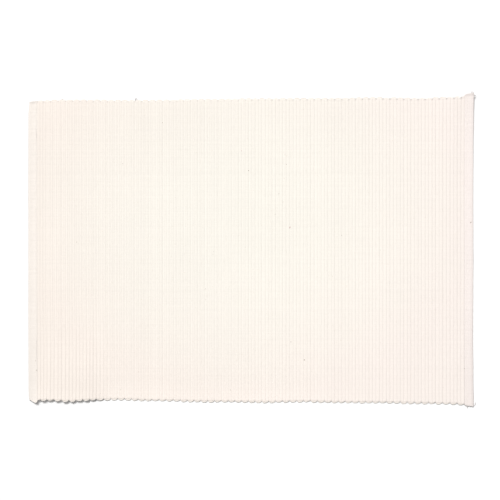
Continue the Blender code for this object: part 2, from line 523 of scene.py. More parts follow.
def lift_at(x, y, lifts=LIFTS):
    """Height of the sheet's underside over the table."""
    height = 0.0
    for lift in lifts:
        edge = edge_at(lift.side, x)
        rise = smooth_step((x - lift.start) / (lift.full_from - lift.start))
        fall = smooth_step((lift.end - x) / (lift.end - lift.full_to))
        inward = np.minimum(np.abs(edge - y) / lift.reach, 1.0)
        height = height + lift.height * rise * fall * (1.0 - inward) ** 2
    return height


def pull_at(x, y):
    """Sideways shift of the sheet where its hems are drawn in."""
    from_left = np.maximum(1.0 - (x + HALF_LENGTH) / PULL_REACH, 0.0)
    from_right = np.maximum(1.0 - (HALF_LENGTH - x) / PULL_REACH, 0.0)
    left = from_left * read_table(PULLS, "y", "left", y)
    right = from_right * read_table(PULLS, "y", "right", y)
    return left - right


def rib_place(ribs):
    """X at a number of ribs from the left hem."""
    even = FIELD_LEFT + (FIELD_RIGHT - FIELD_LEFT) * ribs / RIB_COUNT
    return even + read_table(DRIFTS, "rib", "shift", ribs)


class Wavering:
    """Smooth random curves along Y, from -1 to 1: one for each of a number of threads."""

    def __init__(self, random, count):
        shape = (len(UNEVEN_LENGTHS), count)
        self.turns = random.uniform(0.0, 2.0 * np.pi, shape)
        self.lengths = random.uniform(*LENGTH_SPREAD, shape) * np.array(UNEVEN_LENGTHS)[:, None]

    def at(self, thread, y):
        waves = [
            np.sin(2.0 * np.pi * y / length[thread] + turn[thread])
            for length, turn in zip(self.lengths, self.turns)
        ]
        return sum(waves) / len(waves)


class Weaving:
    """The chance of the weaving: how each rib and valley differs from its neighbours."""

    def __init__(self):
        random = np.random.default_rng(UNEVEN_SEED)
        self.shift = random.normal(0.0, VALLEY_SHIFT, RIB_COUNT + 1)
        self.shift[[0, -1]] = 0.0
        self.depth = random.uniform(-VALLEY_UNEVEN, VALLEY_UNEVEN, RIB_COUNT + 1)
        self.crown = random.uniform(-CROWN_UNEVEN, CROWN_UNEVEN, RIB_COUNT)
        self.wander = Wavering(random, RIB_COUNT + 1)
        self.deepen = Wavering(random, RIB_COUNT + 1)
        self.slub = Wavering(random, RIB_COUNT)
        self.pucker = Wavering(random, len(HEMS))
        self.waver = Wavering(random, len(HEMS))


def parted_at(x, y):
    """How clearly the ribs are parted: least towards the far left, and most at the near left."""
    to_left = smooth_step((NEAR_LEFT_X - x) / NEAR_LEFT_X_REACH)
    to_front = smooth_step((NEAR_LEFT_Y - y) / NEAR_LEFT_Y_REACH)
    return read_table(PARTINGS, "x", "share", x) + NEAR_LEFT_PARTING * to_left * to_front


def relief_at(x, y):
    """How deep the valleys are, as a share of their full depth."""
    return LEAST_RELIEF + RELIEF_RISE * parted_at(x, y)


def shade_at(x, y, ribs):
    """How much painted shade the sheet's colour gets at a place, as a share; below 0 it is painted
    light.

    Less light reaches its near corners and its left fold, less comes back off the table through
    its lifted near left, and more does beside its selvedges; all of it is painted into the
    cloth's colour. The creases along its selvedges get painted shade, darkest in the notches.
    """
    to_front = smooth_step((CORNER_SHADE_Y - y) / CORNER_SHADE_REACH)
    corners = CORNER_SHADE * (x / HALF_LENGTH) ** 2 * to_front
    lifted = LIFTED_SHADE * lift_at(x, y, LIFTS[:1]) / LIFTS[0].height
    fold = FOLD_SHADE * np.clip((FIELD_LEFT - x) / LEFT_HEM_WIDTH, 0.0, 1.0) ** 2
    from_front = y - edge_at("front", x)
    from_back = edge_at("back", x) - y
    near_light = NEAR_LIGHT * (1.0 - smooth_step(from_front / NEAR_LIGHT_REACH))
    near_light = near_light * (1.0 - smooth_step((x - NEAR_LIGHT_X) / NEAR_LIGHT_X_REACH))
    far_light = FAR_LIGHT * (1.0 - smooth_step(from_back / FAR_LIGHT_REACH))
    # Painted shade in the selvedges' creases, darkest in the notches.
    crease_shade = 0.0
    for selvedge, inward in zip(SELVEDGES, (from_front, from_back)):
        nearness = 1.0 - notch_distance(ribs, selvedge)
        notches = CREASE_SHADE_BETWEEN + CREASE_SHADE_IN_NOTCH * nearness**CREASE_SHADE_SHARPNESS
        band = 1.0 - smooth_step((inward - selvedge.crease_shade) / CREASE_SHADE_BLUR)
        crease_shade = crease_shade + read_table(CREASE_SHADES, "x", selvedge.column, x) * notches * band
    return corners + np.minimum(lifted, LIFTED_DARKEST) + fold + crease_shade - near_light - far_light


def notch_distance(ribs, selvedge):
    """Distance in ribs, 0 to 1, from the nearest valley that is a notch at this selvedge."""
    phase = (RIB_COUNT - ribs + selvedge.phase) % 2.0
    return np.minimum(phase, 2.0 - phase)


def place_in_pair(ribs, selvedge):
    """Place across a pair of ribs that share a loop: -1 at its left notch, 1 at its right one."""
    return (ribs - RIB_COUNT - selvedge.phase) % 2.0 - 1.0


def is_notch(valley, selvedge):
    return (RIB_COUNT - valley + selvedge.phase) % 2 == 0


def loop_valleys(selvedge):
    """The valleys that the weft's loops at this selvedge go round."""
    return np.array([v for v in range(1, RIB_COUNT) if not is_notch(v, selvedge)])


class Section(NamedTuple):
    """The sheet's section, as stations on its centreline.

    Each has the lean of the sheet's normal there, half its thickness, its place in the weave, the
    hem that it is in or -1, and how far up a seam's groove shifts it.
    """

    x: np.ndarray
    z: np.ndarray
    slope: np.ndarray
    half: np.ndarray
    picks: np.ndarray
    hem: np.ndarray
    groove: np.ndarray


class Rise(NamedTuple):
    """A station where the cloth rises from the ribs to a hem: its distance out from the ribs' end,
    its height, and half the cloth's thickness there.
    """

    out: float
    height: float
    half: float


HEM_RISE = (Rise(out=0.35, height=1.8, half=0.5), Rise(out=0.8, height=2.22, half=0.4))


def flat_run(start, end, height, slope, groove):
    """A flat layer of a hem, with the stations of its seam's groove among its own."""
    count = max(round(abs(end - start) / LAYER_STEP), 1)
    even = np.linspace(start, end, count + 1)
    own = [x for x in even if min(abs(x - edge) for edge in groove) > LEAST_STEP]
    among = [edge for edge in groove if min(start, end) < edge < max(start, end)]
    return [(x, height, slope) for x in sorted(own + among, reverse=end < start)]


def fold(centre, radius, outward, start_slope, steps):
    """A fold of a hem, from the layer above to the one below or, where it is inward, back up."""
    turns = np.linspace(0.0, np.pi, steps + 1)
    across = centre + outward * radius * np.sin(turns)
    height = BOTTOM_LAYER + radius + outward * radius * np.cos(turns)
    return list(zip(across, height, start_slope + turns))


def hem_section(index, hem):
    """A hem's section from the ribs out to its fold, back under, and out again to its raw edge."""
    outer_radius = (FACE_LAYER - BOTTOM_LAYER) / 2
    inner_radius = (TUCKED_LAYER - BOTTOM_LAYER) / 2
    outer_fold = HALF_LENGTH - outer_radius - HALF_HEADING
    inner_fold = hem.field_edge + HEM_FOLD_CLEARANCE + inner_radius + HALF_HEADING
    seam = hem.field_edge + hem.stitch_line
    groove = (seam - GROOVE_HALF_WIDTH, seam, seam + GROOVE_HALF_WIDTH)
    face = (hem.field_edge + FACE_START, outer_fold - FACE_MARGIN)
    bottom = (outer_fold - BOTTOM_MARGINS[0], inner_fold + BOTTOM_MARGINS[1])
    tucked = (inner_fold + TUCKED_MARGIN, outer_fold - RAW_EDGE_INSET)

    points = [(hem.field_edge + rise.out, rise.height, 0.0) for rise in HEM_RISE]
    points += flat_run(*face, FACE_LAYER, 0.0, groove)
    points += fold(outer_fold, outer_radius, 1.0, 0.0, OUTER_FOLD_STEPS)
    points += flat_run(*bottom, BOTTOM_LAYER, np.pi, groove)
    points += fold(inner_fold, inner_radius, -1.0, np.pi, INNER_FOLD_STEPS)
    points += flat_run(*tucked, TUCKED_LAYER, 2.0 * np.pi, groove)
    x, z, slope = np.array(points).T
    steps = np.hypot(np.diff(x, prepend=hem.field_edge), np.diff(z, prepend=MIDDLE))
    half = np.full_like(x, HALF_HEADING)
    half[: len(HEM_RISE)] = [rise.half for rise in HEM_RISE]
    # The seam shows on the face, which leans by nothing, and on the bottom layer.
    in_seam = (x == seam) & (slope <= np.pi)
    depth = np.where(slope == 0.0, -hem.groove, UNDER_GROOVE)
    return Section(
        x=x,
        z=z,
        slope=slope,
        half=half,
        picks=np.cumsum(steps) / HEADING_PICK,
        hem=np.full(len(x), index),
        groove=np.where(in_seam, depth, 0.0),
    )


def sheet_section():
    """The whole section from the left raw edge, over the ribs, to the right raw edge."""
    left, right = (hem_section(index, hem) for index, hem in enumerate(HEMS))
    left = Section(*(column[::-1] for column in left))
    ribs = np.append((np.arange(RIB_COUNT)[:, None] + np.array(RIB_PHASES)).ravel(), RIB_COUNT)
    none = np.zeros_like(ribs)
    return Section(
        x=np.concatenate([-left.x, rib_place(ribs), right.x]),
        z=np.concatenate([left.z, none + MIDDLE, right.z]),
        slope=np.concatenate([-left.slope, none, right.slope]),
        half=np.concatenate([left.half, none, right.half]),
        picks=np.concatenate([-left.picks, ribs, RIB_COUNT + right.picks]),
        hem=np.concatenate([left.hem, none - 1, right.hem]).astype(int),
        groove=np.concatenate([left.groove, none, right.groove]),
    )


class Rows(NamedTuple):
    """The mesh's lines along the mat.

    Each has its share of the way from the front selvedge strip to the back one, and its distances
    in from the warp's end at the front and at the back.
    """

    share: np.ndarray
    front: np.ndarray
    back: np.ndarray


def sheet_rows():
    ends = np.array(END_ROWS)
    inner = np.arange(1, INNER_SPANS) / INNER_SPANS
    strip = np.full(len(inner), ends[-1])
    return Rows(
        share=np.concatenate([np.zeros(len(ends)), inner, np.ones(len(ends))]),
        front=np.concatenate([ends, strip, np.full(len(ends), ends[-1])]),
        back=np.concatenate([np.full(len(ends), ends[-1]), strip, ends[::-1]]),
    )


def body_inset(ribs, in_field, selvedge):
    """How far the warp's end lies in from the outline: most at the notches, nothing at the hems."""
    lone = ribs < 1.0 if is_notch(1, selvedge) else ribs > RIB_COUNT - 1.0
    least = np.where(lone, LONE_RIB_INSET, BODY_INSET)
    notch = NOTCH_DEPTH * (1.0 - arch(1.0 - notch_distance(ribs, selvedge), NOTCH_SQUARENESS))
    skewed = selvedge.skew * place_in_pair(ribs, selvedge)
    return np.where(in_field, least + notch + skewed, 0.0)


def row_places(section, rows, ribs, in_field):
    """Y of each station on each row."""
    front = edge_at("front", section.x)[:, None]
    back = edge_at("back", section.x)[:, None]
    front_inset = body_inset(ribs, in_field, SELVEDGES[0])[:, None]
    back_inset = body_inset(ribs, in_field, SELVEDGES[1])[:, None]
    front_inset = front_inset * (1.0 - smooth_step(rows.front / END_ROWS[-1]))
    back_inset = back_inset * (1.0 - smooth_step(rows.back / END_ROWS[-1]))
    from_front = front + front_inset + rows.front
    from_back = back - back_inset - rows.back
    return from_front * (1.0 - rows.share) + from_back * rows.share


def valley_half(weaving, valley, x, y, ends):
    """Half the cloth's thickness in a valley, which deepens into a notch or fills up in a loop."""
    uneven = 1.0 + weaving.depth[valley] + VALLEY_WAVER * weaving.deepen.at(valley, y)
    half = MIDDLE - (MIDDLE - HALF_VALLEY) * relief_at(x, y) * uneven
    for selvedge, distance in zip(SELVEDGES, ends):
        near = 1.0 - smooth_step(distance / SELVEDGE_REACH)
        notch = half * (1.0 - NOTCH_DEEPENING * near)
        filled = half + (PAIR_FILL * MIDDLE - half) * near
        half = np.where(is_notch(valley, selvedge), notch, filled)
    return half


def field_half(weaving, ribs, x, y, ends):
    """Half the cloth's thickness anywhere in the ribbed field."""
    rib = np.clip(np.floor(ribs).astype(int), 0, RIB_COUNT - 1)
    phase = ribs - rib
    crown = MIDDLE + weaving.crown[rib] + CROWN_UNEVEN * weaving.slub.at(rib, y)
    left = valley_half(weaving, rib, x, y, ends)
    right = valley_half(weaving, rib + 1, x, y, ends)
    valley = left * (1.0 - phase) + right * phase
    half = valley + (crown - valley) * arch(2.0 * phase - 1.0, CROWN_SQUARENESS)
    for distance in ends:
        open_share = (1.0 - np.clip(distance / BODY_ROUNDING, 0.0, 1.0)) ** 2
        half = half * np.sqrt(1.0 - (1.0 - BODY_END_SHARE**2) * open_share)
    return half


def field_shift(weaving, ribs, y, ends):
    """Sideways shift of the ribs: valleys wander, and each pair leans together at its loop."""
    rib = np.clip(np.floor(ribs).astype(int), 0, RIB_COUNT - 1)
    phase = ribs - rib
    inner = np.clip(np.minimum(rib, RIB_COUNT - 1 - rib), 0, 1)
    left = weaving.shift[rib] + VALLEY_WANDER * weaving.wander.at(rib, y)
    right = weaving.shift[rib + 1] + VALLEY_WANDER * weaving.wander.at(rib + 1, y)
    shift = (left * (1.0 - phase) + right * phase) * inner
    for selvedge, distance in zip(SELVEDGES, ends):
        near = 1.0 - smooth_step(distance / (2.0 * SELVEDGE_REACH))
        shift = shift - PAIR_LEAN * near * np.sin(np.pi * place_in_pair(ribs, selvedge))
    return shift


class Cloth(NamedTuple):
    """The sheet's two faces, as points by station and row, with its shade and its section."""

    upper: np.ndarray
    lower: np.ndarray
    shade: np.ndarray
    section: Section


def to_far_side(y):
    """Place between the mat's near side, -1, and its far one, 1."""
    return np.clip(y / HALF_WIDTH, -1.0, 1.0)


def near_to_far(near, far, y):
    """A share that changes evenly from the mat's near side to its far one."""
    return near + (far - near) * (1.0 + to_far_side(y)) / 2.0


def hem_shade(hem, x, y):
    """How much painted shade a hem's cloth gets towards its two ends, and along its outer fold."""
    place = to_far_side(y)
    far, near = np.maximum(place, 0.0), np.maximum(-place, 0.0)
    folded = smooth_step((np.abs(x) - FOLD_SHADE_START) / FOLD_SHADE_BLUR)
    fold_shade = near_to_far(hem.near.fold, hem.far.fold, y) * folded
    return hem.far.cloth * far + hem.near.cloth * near**2 + fold_shade


def weave_cloth():
    """The whole sheet as it lies, with its unevenness, hems, lifted corners and shade."""
    weaving = Weaving()
    section = sheet_section()
    rows = sheet_rows()
    in_field = section.hem < 0
    ribs = np.clip(section.picks, 0.0, RIB_COUNT)
    y = row_places(section, rows, ribs, in_field)
    x, z, half = (
        np.repeat(column[:, None], y.shape[1], axis=1)
        for column in (section.x, section.z, section.half)
    )

    shade = shade_at(x, y, ribs[:, None])
    ends = (rows.front[None, :], rows.back[None, :])
    field_ribs = ribs[in_field][:, None]
    half[in_field] = field_half(weaving, field_ribs, x[in_field], y[in_field], ends)
    x[in_field] += field_shift(weaving, field_ribs, y[in_field], ends)

    for index, hem in enumerate(HEMS):
        here = section.hem == index
        out = np.abs(section.x[here, None]) - hem.field_edge
        outward = np.clip(out / LEFT_HEM_WIDTH, 0.0, 1.0)
        upright = np.clip(section.z[here, None] / FACE_LAYER, 0.0, 1.0)
        z[here] += HEM_PUCKER * upright * outward * weaving.pucker.at(index, y[here])
        z[here] += section.groove[here, None]
        x[here] += HEM_WAVER * outward * weaving.waver.at(index, y[here])
        # Painted light and shade in each hem, and in the valley beside it.
        shade[here] += hem_shade(hem, section.x[here, None], y[here])
        valley = np.flatnonzero(in_field)[0 if hem.side < 0.0 else -1]
        shade[valley] += near_to_far(hem.near.valley, hem.far.valley, y[valley])

    z += lift_at(x, y)
    x += pull_at(x, y)
    lean_x = np.sin(section.slope)[:, None] * half
    lean_z = np.cos(section.slope)[:, None] * half
    upper = np.stack([x + lean_x, y, z + lean_z], axis=-1)
    lower = np.stack([x - lean_x, y, z - lean_z], axis=-1)
    for face in (upper, lower):
        np.maximum(face[..., 2], 0.0, out=face[..., 2])
    return Cloth(upper, lower, shade, section)


def grid_faces(index, flip):
    """Quads between neighbouring points of a grid of vertex indices."""
    corners = [index[:-1, :-1], index[1:, :-1], index[1:, 1:], index[:-1, 1:]]
    quads = np.stack([corner.ravel() for corner in corners], axis=1)
    return quads[:, ::-1] if flip else quads


def add_object(name, data):
    obj = bpy.data.objects.new(name, data)
    bpy.context.scene.collection.objects.link(obj)
    return obj


def mesh_object(name, points, faces, material):
    """A smooth-shaded object of points in millimetres and faces that are quads or triangles."""
    mesh = bpy.data.meshes.new(name)
    mesh.from_pydata(points * MM, [], faces)
    mesh.shade_smooth()
    mesh.materials.append(material)
    return add_object(name, mesh)


class Patch(NamedTuple):
    """A grid of quads, with each corner's place on the bake's sheet and in the weave."""

    quads: np.ndarray
    bake: np.ndarray
    weave: np.ndarray


def make_patch(index, bake, weave, flip):
    """A patch over a grid of vertex indices, with its places given on the same grid."""
    grid = grid_faces(np.arange(index.size).reshape(index.shape), flip)
    return Patch(index.ravel()[grid], bake.reshape(-1, 2)[grid], weave.reshape(-1, 2)[grid])


def set_uv(mesh, name, corners):
    layer = mesh.uv_layers.new(name=name)
    layer.uv.foreach_set("vector", np.ascontiguousarray(corners, np.float32).ravel())


def set_share(mesh, name, shares):
    layer = mesh.attributes.new(name, "FLOAT", "POINT")
    layer.data.foreach_set("value", np.ascontiguousarray(shares, np.float32))


def bake_places(cloth, low):
    """Places on the bake's sheet: the cloth unrolled, from low to half a sheet above it."""
    section, y = cloth.section, cloth.upper[..., 1]
    steps = np.hypot(np.diff(section.x), np.diff(section.z))
    along = np.concatenate([[0.0], np.cumsum(steps)])
    u = BAKE_MARGIN + (1.0 - 2.0 * BAKE_MARGIN) * along / along[-1]
    v = low + BAKE_MARGIN + (0.5 - 2.0 * BAKE_MARGIN) * (y - y.min()) / (y.max() - y.min())
    return np.stack([np.repeat(u[:, None], y.shape[1], axis=1), v], axis=-1)


def cloth_patches(cloth):
    """The closed skin of the sheet: its two faces, its selvedges and its two raw edges."""
    shape = cloth.upper.shape[:2]
    upper = np.arange(shape[0] * shape[1]).reshape(shape)
    lower = upper + upper.size
    picks = np.repeat(cloth.section.picks[:, None], shape[1], axis=1)
    weave = np.stack([picks, cloth.upper[..., 1] / WARP_PITCH], axis=-1)
    bake = bake_places(cloth, 0.0)
    patches = [
        make_patch(upper, bake, weave, False),
        make_patch(lower, bake_places(cloth, 0.5), weave, True),
    ]
    # Each edge's strip runs on from the upper face, past its border on the bake's sheet.
    edges = (
        ((slice(None), 0), (0.0, -1.0), False),
        ((slice(None), -1), (0.0, 1.0), True),
        ((0, slice(None)), (-1.0, 0.0), True),
        ((-1, slice(None)), (1.0, 0.0), False),
    )
    for line, outward, flip in edges:
        step = np.array(outward)
        patches.append(
            make_patch(
                np.stack([upper[line], lower[line]]),
                np.stack([bake[line], bake[line] + BAKE_EDGE * step]),
                np.stack([weave[line], weave[line] + step]),
                flip,
            )
        )
    return patches


def add_mat(cloth, material):
    """The ribbed sheet itself."""
    points = np.concatenate([cloth.upper.reshape(-1, 3), cloth.lower.reshape(-1, 3)])
    patches = cloth_patches(cloth)
    quads = np.concatenate([patch.quads for patch in patches])
    mat = mesh_object("ribbed_cloth", points, quads.tolist(), material)
    set_uv(mat.data, "OFBake", np.concatenate([patch.bake for patch in patches]))
    set_uv(mat.data, "weave", np.concatenate([patch.weave for patch in patches]))
    in_hem = np.repeat(cloth.section.hem >= 0, cloth.upper.shape[1]).astype(np.float32)
    set_share(mat.data, "hems", np.tile(in_hem, 2))
    set_share(mat.data, "parted", parted_at(points[:, 0], points[:, 1]))
    set_share(mat.data, "shade", np.tile(cloth.shade.ravel(), 2))
    return mat


def round_section(radii):
    """The sections of round tubes, from the radii at their points."""
    turns = 2.0 * np.pi * np.arange(TUBE_SIDES) / TUBE_SIDES
    return np.asarray(radii)[..., None, None] * np.stack([np.cos(turns), np.sin(turns)], axis=1)


def yarn_section(starts, steps):
    """The sections of plied yarns: squarish ovals whose lobes turn a little from point to point.

    Both ends of a yarn taper, inside the cloth.
    """
    turns = 2.0 * np.pi * np.arange(YARN_SIDES) / YARN_SIDES
    twist = starts[:, None, None] + PLY_TURN * np.arange(steps)[:, None]
    lobes = 1.0 + PLY_RELIEF * np.cos(PLIES * turns + twist)
    across = YARN_HALF_WIDTH * squared(np.cos(turns), YARN_SQUARENESS)
    upright = YARN_HALF_HEIGHT * squared(np.sin(turns), YARN_SQUARENESS)
    taper = np.ones(steps)
    taper[: len(YARN_TAPER)] = YARN_TAPER
    size = lobes * np.minimum(taper, taper[::-1])[:, None]
    return size[..., None] * np.stack([across, upright], axis=1)


def add_tubes(name, paths, sections, material):
    """One object of closed tubes that follow level paths, all with the same number of points."""
    count, steps = paths.shape[:2]
    sides = sections.shape[-2]
    sections = np.broadcast_to(sections, (count, steps, sides, 2))
    along = np.gradient(paths, axis=1)
    along /= np.linalg.norm(along, axis=2, keepdims=True)
    across = np.cross((0.0, 0.0, 1.0), along)
    across /= np.linalg.norm(across, axis=2, keepdims=True)
    upright = np.cross(along, across)
    points = paths[:, :, None] + across[:, :, None] * sections[..., :1]
    points = points + upright[:, :, None] * sections[..., 1:]

    index = np.arange(count * steps * sides).reshape(count, steps, sides)
    this_side = np.arange(sides)
    next_side = (this_side + 1) % sides
    near, far = index[:, :-1], index[:, 1:]
    corners = [near[..., this_side], near[..., next_side], far[..., next_side], far[..., this_side]]
    quads = np.stack([corner.ravel() for corner in corners], axis=1)
    ends = np.concatenate([index[:, 0, ::-1], index[:, -1]])
    tubes = mesh_object(name, points.reshape(-1, 3), quads.tolist() + ends.tolist(), material)

    lengths = np.linalg.norm(np.diff(paths, axis=1), axis=2)
    lengths = np.concatenate([np.zeros((count, 1)), np.cumsum(lengths, axis=1)], axis=1)
    near = np.repeat(lengths[:, :-1, None], sides, axis=2).ravel()
    far = np.repeat(lengths[:, 1:, None], sides, axis=2).ravel()
    side = np.tile(this_side / sides, count * (steps - 1))
    other = side + 1.0 / sides
    walls = np.stack([near, side, near, other, far, other, far, side], axis=1)
    caps = np.zeros((2 * count * sides, 2))
    set_uv(tubes.data, "thread", np.concatenate([walls.reshape(-1, 2), caps]))
    return tubes


def crown_station(cloth, rib):
    """The station on the crown of a rib, or of each of several."""
    first = np.argmin(np.abs(cloth.section.picks))
    return first + rib * len(RIB_PHASES) + RIB_PHASES.index(0.5)


def add_weft_loops(cloth, material):
    """The weft past the warp's end: a rib's two yarns turn into the next rib, one in the other."""
    random = np.random.default_rng(LOOP_SEED)
    turns = np.linspace(0.0, np.pi, LOOP_STEPS + 1)
    sideways = squared(np.cos(turns), LOOP_SQUARENESS)
    outward = squared(np.sin(turns), LOOP_SQUARENESS)
    paths = []
    for selvedge, row in zip(SELVEDGES, (0, -1)):
        valleys = loop_valleys(selvedge)
        middle = (cloth.upper + cloth.lower)[:, row] / 2.0
        left = middle[crown_station(cloth, valleys - 1)]
        right = middle[crown_station(cloth, valleys)]
        centre = (left[:, 0] + right[:, 0]) / 2.0
        leg = (right[:, 0] - left[:, 0]) / 2.0
        depth = LOOP_FLATNESS * (leg + YARN_OFFSETS[-1]) + YARN_HALF_WIDTH - selvedge.reach
        depth = depth + random.uniform(-LOOP_UNEVEN, LOOP_UNEVEN, len(valleys))
        start_y = edge_at(selvedge.column, centre) - selvedge.side * depth
        for offset in YARN_OFFSETS:
            jitter = random.normal(0.0, YARN_UNEVEN, (3, len(valleys)))
            radius = (leg + offset + jitter[0])[:, None]
            x = centre[:, None] + radius * sideways
            skewed = -selvedge.side * selvedge.skew * (1.0 + SKEW_UNEVEN * jitter[1] / YARN_UNEVEN)
            y = start_y[:, None] + selvedge.side * LOOP_FLATNESS * radius * outward
            y = y + (jitter[1][:, None] + skewed[:, None] * sideways)
            legs = start_y[:, None] - selvedge.side * np.array(LOOP_LEGS)
            x = np.concatenate([x[:, :1], x[:, :1], x, x[:, -1:], x[:, -1:]], axis=1)
            y = np.concatenate([legs, y, legs[:, ::-1]], axis=1)
            height = (left[:, 2] + right[:, 2]) / 2.0 + jitter[2]
            z = np.repeat(height[:, None], x.shape[1], axis=1)
            paths.append(np.stack([x, y, z], axis=-1))
    paths = np.concatenate(paths)
    starts = random.uniform(0.0, 2.0 * np.pi, len(paths))
    return add_tubes("weft_loops", paths, yarn_section(starts, paths.shape[1]), material)


def add_hem_stitches(cloth, material):
    """The hems' seams, as they show on the face and on the underside."""
    t = np.linspace(-1.0, 1.0, STITCH_STEPS + 1)
    paths = []
    for station in np.flatnonzero(cloth.section.groove):
        line = cloth.upper[station]
        outward = math.cos(cloth.section.slope[station])
        y = np.arange(line[0, 1] + STITCH_MARGIN, line[-1, 1] - STITCH_MARGIN, STITCH_PITCH)
        y = y[:, None] + t * STITCH_LENGTH / 2.0
        x = np.interp(y, line[:, 1], line[:, 0])
        z = np.interp(y, line[:, 1], line[:, 2]) + outward * (STITCH_RISE - STITCH_DIP * t**4)
        paths.append(np.stack([x, y, np.maximum(z, STITCH_RADIUS)], axis=-1))
    sections = round_section(STITCH_RADIUS * (1.0 - STITCH_TAPER * t**4))
    return add_tubes("hem_stitches", np.concatenate(paths), sections, material)


class Husk(NamedTuple):
    """A fleck of seed husk in the cloth: its place, length, lean in degrees, and colour."""

    x: float
    y: float
    length: float
    lean: float
    red: bool = False


HUSKS = (
    Husk(-95.7, 137.6, 0.95, 20),
    Husk(-10.0, 107.1, 0.9, 70, True),
    Husk(-2.4, 85.6, 1.3, 10),
    Husk(38.5, 92.5, 0.75, 95),
    Husk(30.4, 60.6, 0.8, 40),
    Husk(34.8, 51.6, 0.65, 80),
    Husk(26.5, 38.4, 0.6, 15),
    Husk(42.2, 24.1, 2.0, 75, True),
    Husk(98.3, 15.4, 0.6, 60),
    Husk(-188.7, 8.2, 0.9, 30),
    Husk(-5.9, 2.8, 0.4, 20),
    Husk(-40.4, -2.0, 0.4, 0),
    Husk(-40.9, -5.0, 0.5, 50),
    Husk(139.9, -0.4, 0.65, 85),
    Husk(-49.3, -42.5, 0.8, 25),
    Husk(-48.9, -54.2, 0.45, 65),
    Husk(41.2, -57.9, 0.45, 90),
    Husk(43.4, -99.9, 1.0, 35),
    Husk(57.9, -119.4, 1.8, 5),
    Husk(-121.9, -132.4, 0.9, 45),
    Husk(-22.0, -152.1, 0.8, 80),
    Husk(-141.2, -151.6, 0.6, 15),
    Husk(-162.9, -155.5, 0.6, 55),
    Husk(-139.0, 93.3, 0.6, 40),
    Husk(-232.2, -130.5, 1.2, 10),
    Husk(-233.3, -120.4, 0.8, 75),
    Husk(227.6, -115.1, 0.7, 70),
    Husk(231.3, -128.9, 1.0, 20),
    Husk(238.2, 29.5, 2.0, 60),
)


def surface_height(cloth, x, y):
    """Height of the cloth's face at a place, from the stations that face up."""
    lines = cloth.upper[np.abs(cloth.section.slope) < FACE_SLOPE]
    across = np.array([np.interp(y, line[:, 1], line[:, 0]) for line in lines])
    height = np.array([np.interp(y, line[:, 1], line[:, 2]) for line in lines])
    order = np.argsort(across)
    return np.interp(x, across[order], height[order])


def add_husks(cloth, name, red, material):
    """Flecks of seed husk, lying in the cloth's face."""
    husks = [husk for husk in HUSKS if husk.red == red]
    paths = []
    for husk in husks:
        lean = math.radians(husk.lean)
        along = np.linspace(-0.5, 0.5, len(HUSK_RADII)) * husk.length
        x = husk.x + along * math.cos(lean)
        y = husk.y + along * math.sin(lean)
        z = [surface_height(cloth, *place) for place in zip(x, y)]
        paths.append(np.stack([x, y, z], axis=-1))
    sizes = np.array([(1.0 + husk.length) / 2.0 for husk in husks])
    return add_tubes(name, np.array(paths), round_section(sizes[:, None] * HUSK_RADII), material)


class ThreadEnd(NamedTuple):
    """A loose end of yarn: its radius at its root, and the points that it passes through."""

    radius: float
    points: tuple


THREAD_ENDS = (
    # The near right corner: a wisp that curls up beside the hem, and a short end that sticks out.
    ThreadEnd(0.32, (
        (238.6, -168.2, 2.4), (240.8, -168.9, 2.5), (242.4, -167.9, 2.3),
        (243.4, -166.5, 2.0), (243.8, -165.0, 1.7),
    )),
    ThreadEnd(0.6, (
        (234.3, -167.4, 1.9), (234.5, -168.6, 1.8), (234.6, -169.6, 1.6),
        (234.6, -170.6, 1.3), (234.5, -171.5, 0.9),
    )),
    # The far right corner: a tuft of short ends, and two that lie beside the hem.
    ThreadEnd(0.34, (
        (237.6, 167.6, 7.6), (238.2, 169.1, 7.9), (238.6, 170.2, 7.8),
        (238.7, 171.0, 7.3), (238.3, 171.6, 6.9),
    )),
    ThreadEnd(0.32, (
        (238.8, 167.8, 8.0), (239.4, 169.2, 8.2), (239.8, 170.4, 7.9),
        (239.7, 171.2, 7.3), (239.2, 171.7, 6.8),
    )),
    ThreadEnd(0.32, (
        (239.2, 167.4, 7.6), (240.0, 168.6, 7.8), (240.6, 169.6, 7.4),
        (241.0, 170.2, 6.8), (241.4, 170.4, 6.2),
    )),
    ThreadEnd(0.34, (
        (239.4, 166.0, 6.6), (241.2, 166.9, 6.8), (242.4, 166.8, 6.0),
        (243.2, 166.2, 5.0), (243.7, 165.4, 4.2),
    )),
    ThreadEnd(0.3, (
        (239.4, 165.2, 6.2), (241.0, 165.8, 6.3), (242.2, 166.2, 5.7),
        (243.0, 166.9, 4.9), (243.4, 167.6, 4.3),
    )),
    # The near left corner: a short end under the slanted hem.
    ThreadEnd(0.26, (
        (-231.9, -163.4, 4.6), (-231.3, -164.9, 4.9), (-230.6, -166.0, 4.6),
        (-229.8, -166.5, 4.0), (-229.0, -166.6, 3.4),
    )),
    # Small loops that stand out of the far selvedge.
    ThreadEnd(0.3, (
        (-205.3, 160.9, 1.6), (-205.1, 162.2, 1.9), (-204.2, 163.0, 1.9),
        (-203.3, 162.3, 1.8), (-203.1, 160.9, 1.5),
    )),
    ThreadEnd(0.3, (
        (-125.4, 161.2, 1.6), (-125.2, 162.9, 1.8), (-124.4, 164.1, 1.9),
        (-123.5, 163.1, 1.8), (-123.4, 161.4, 1.5),
    )),
    # Slack lengths of the sewing thread along the left seam.
    ThreadEnd(0.11, (
        (-232.25, -98.3, 2.6), (-232.45, -104.9, 2.72), (-232.25, -111.8, 2.78),
        (-232.5, -118.7, 2.93), (-232.35, -125.2, 3.05),
    )),
    ThreadEnd(0.11, (
        (-232.2, 131.4, 2.5), (-232.5, 127.4, 2.75), (-232.2, 122.9, 2.8),
        (-232.6, 118.4, 2.75), (-232.3, 114.4, 2.5),
    )),
)


